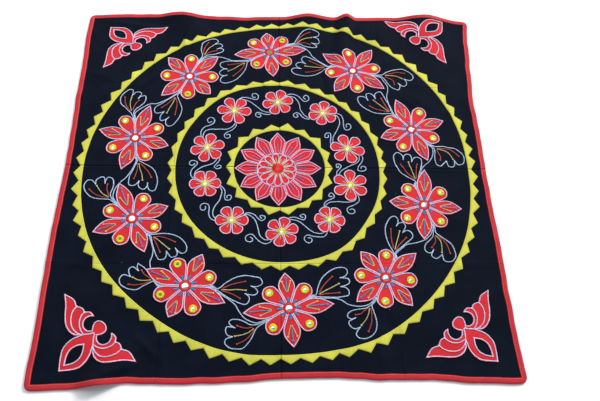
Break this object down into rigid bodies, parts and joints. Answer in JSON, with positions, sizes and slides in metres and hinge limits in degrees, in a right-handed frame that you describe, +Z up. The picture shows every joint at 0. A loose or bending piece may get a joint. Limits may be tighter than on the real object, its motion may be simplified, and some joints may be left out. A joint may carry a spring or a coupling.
{
  "type": "applique wall tapestry",
  "caption": "Square bound cloth with sewn-on sawtooth rings, flowers, corner ornaments and small round mirrors, spread out flat.",
  "frame": {"origin": "on the underside, at the middle of the square cloth", "axes": "+Z up out of the face, +Y to the top edge of the design, +X to its right edge"},
  "size_m": [1.1775, 1.1658, 0.0236],
  "materials": {
    "ground": "blue-black plain-weave cotton, matt",
    "tape": "red cotton binding tape, machine stitched along its inner edge",
    "yellow_applique": "lemon-yellow plain-weave cotton with turned edges",
    "red_applique": "red plain-weave cotton outlined in white chain stitch",
    "mirror": "small round silvered glass held by a thread ring",
    "thread": "embroidery thread in chain stitch, slightly glossy"
  },
  "bodies": {
    "root": {"ground_cloth": "ground", "binding_top": "tape", "binding_right": "tape", "binding_bottom": "tape", "binding_left": "tape", "ring_outer": "yellow_applique", "ring_middle": "yellow_applique", "ring_inner": "yellow_applique", "large_flower_01": "red_applique", "large_flower_02": "red_applique", "large_flower_03": "red_applique", "large_flower_04": "red_applique", "large_flower_05": "red_applique", "large_flower_06": "red_applique", "large_flower_07": "red_applique", "large_flower_08": "red_applique", "large_flower_09": "red_applique", "large_flower_10": "red_applique", "small_flower_01": "red_applique", "small_flower_02": "red_applique", "small_flower_03": "red_applique", "small_flower_04": "red_applique", "small_flower_05": "red_applique", "small_flower_06": "red_applique", "small_flower_07": "red_applique", "small_flower_08": "red_applique", "small_flower_09": "red_applique", "small_flower_10": "red_applique", "centre_flower": "red_applique", "corner_top_left": "red_applique", "corner_top_right": "red_applique", "corner_bottom_right": "red_applique", "corner_bottom_left": "red_applique", "large_mirror_01": "mirror", "large_mirror_02": "mirror", "large_mirror_03": "mirror", "large_mirror_04": "mirror", "large_mirror_05": "mirror", "large_mirror_06": "mirror", "large_mirror_07": "mirror", "large_mirror_08": "mirror", "large_mirror_09": "mirror", "large_mirror_10": "mirror", "small_mirror_01": "mirror", "small_mirror_02": "mirror", "small_mirror_03": "mirror", "small_mirror_04": "mirror", "small_mirror_05": "mirror", "small_mirror_06": "mirror", "small_mirror_07": "mirror", "small_mirror_08": "mirror", "small_mirror_09": "mirror", "small_mirror_10": "mirror", "centre_mirror": "mirror"}
  },
  "joints": []
}
